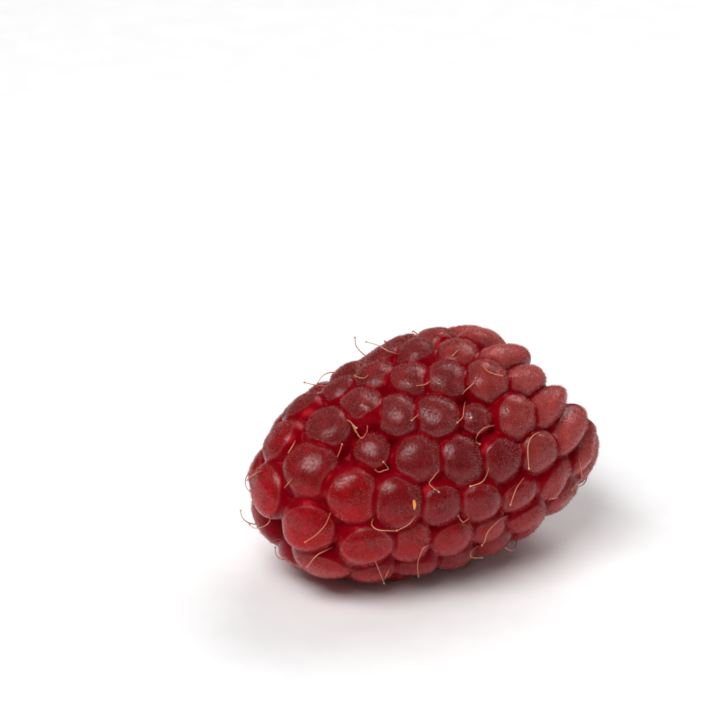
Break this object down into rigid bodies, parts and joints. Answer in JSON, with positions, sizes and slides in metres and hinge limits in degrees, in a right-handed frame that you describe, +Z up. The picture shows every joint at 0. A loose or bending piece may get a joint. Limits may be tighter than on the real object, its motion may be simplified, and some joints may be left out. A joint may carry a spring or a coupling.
{
  "type": "raspberry",
  "caption": "Picked raspberry lying on its side: plump drupelets grown together round a hollow that is open at the stem end.",
  "frame": {"origin": "on the ground under the centre of the berry's bounding box", "axes": "+X from the closed tip towards the open mouth, along the ground; +Z up; the berry lies on five of its drupelets"},
  "size_m": [0.0288, 0.0184, 0.0183],
  "materials": {
    "berry_skin": "satin, with a fine pale down",
    "dried_style": "dry and matte",
    "inner_flesh": "soft and matte"
  },
  "bodies": {
    "root": {"raspberry": "berry_skin"}
  },
  "joints": []
}
